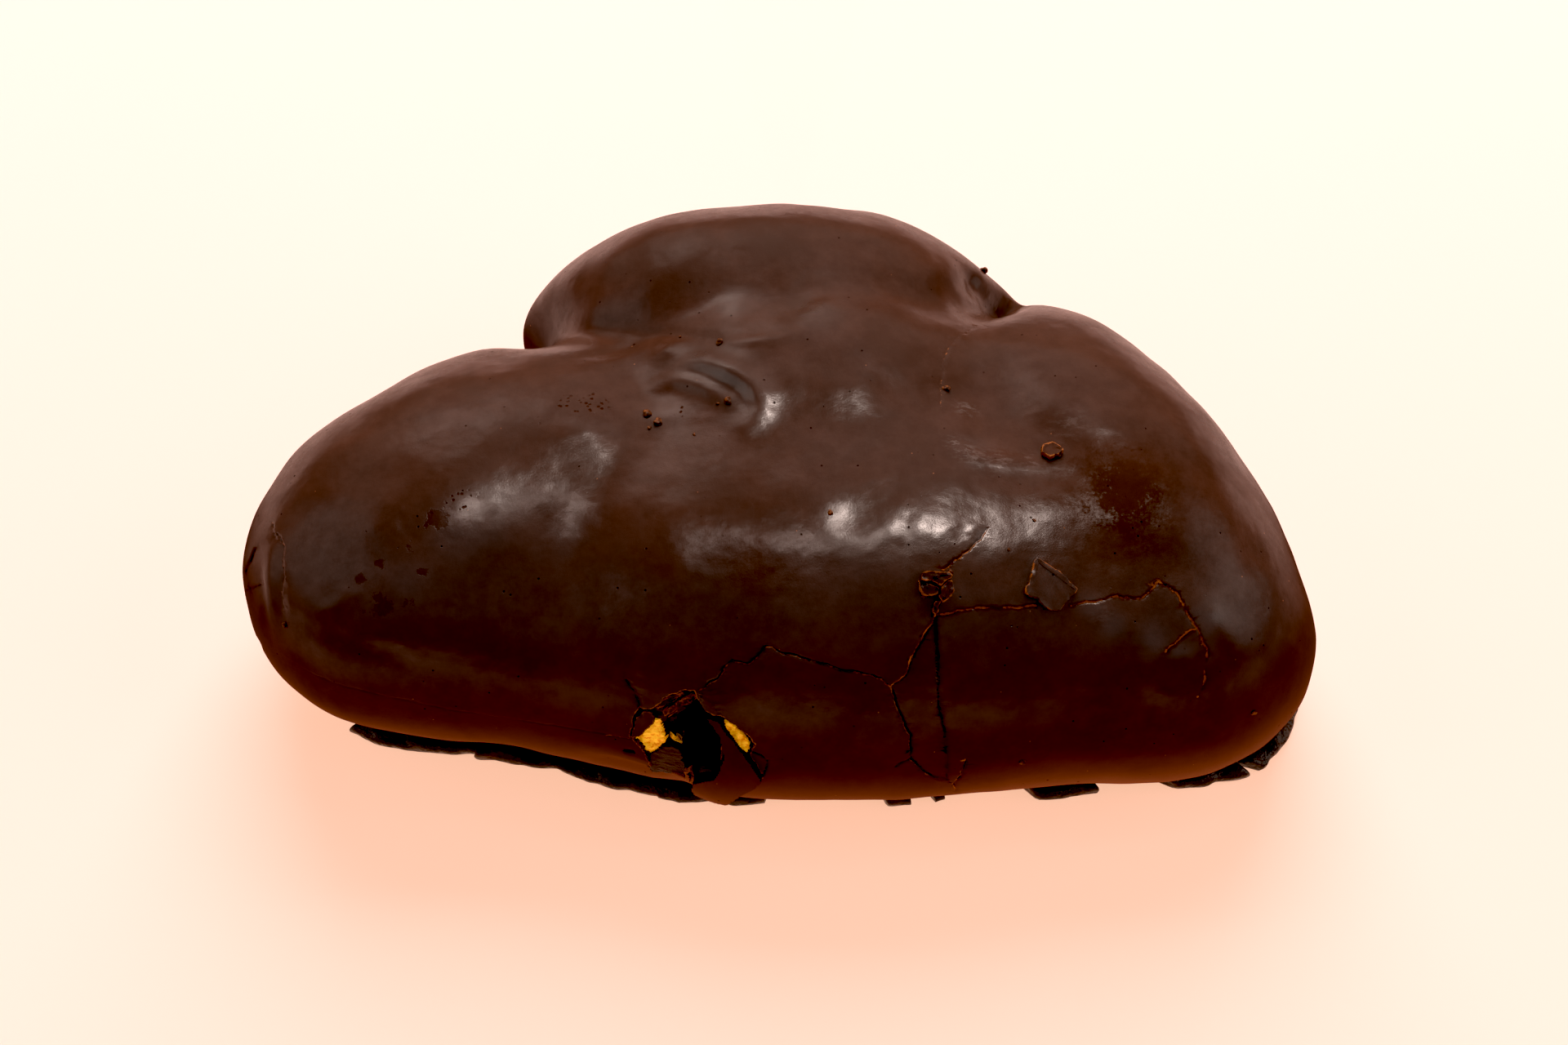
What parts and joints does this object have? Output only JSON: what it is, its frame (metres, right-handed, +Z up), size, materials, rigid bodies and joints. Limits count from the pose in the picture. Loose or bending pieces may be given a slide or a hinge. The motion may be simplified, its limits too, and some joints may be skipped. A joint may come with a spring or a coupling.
{
  "type": "cream bun",
  "caption": "Lobed cream bun in a dark chocolate coat, lying flat, with a small break low on its long side that shows pastry and dark cream.",
  "frame": {"origin": "on the surface that the bun lies on, under the middle of its box", "axes": "+X along the bun's length, towards its pointed right end, +Z up, and -Y towards the long smooth side that is broken"},
  "size_m": [0.1183, 0.0731, 0.0345],
  "materials": {
    "chocolate": "satin dark chocolate",
    "foot_chocolate": "glossy dark chocolate that set against a flat surface",
    "crumb": "dry golden crumb",
    "cream": "moist dark chocolate cream"
  },
  "bodies": {
    "root": {"chocolate_coat": "chocolate", "broken_flap": "chocolate", "broken_side_piece": "chocolate", "broken_upper_piece": "chocolate", "chocolate_base": "foot_chocolate", "pastry": "crumb", "cream_filling": "cream"}
  },
  "joints": []
}
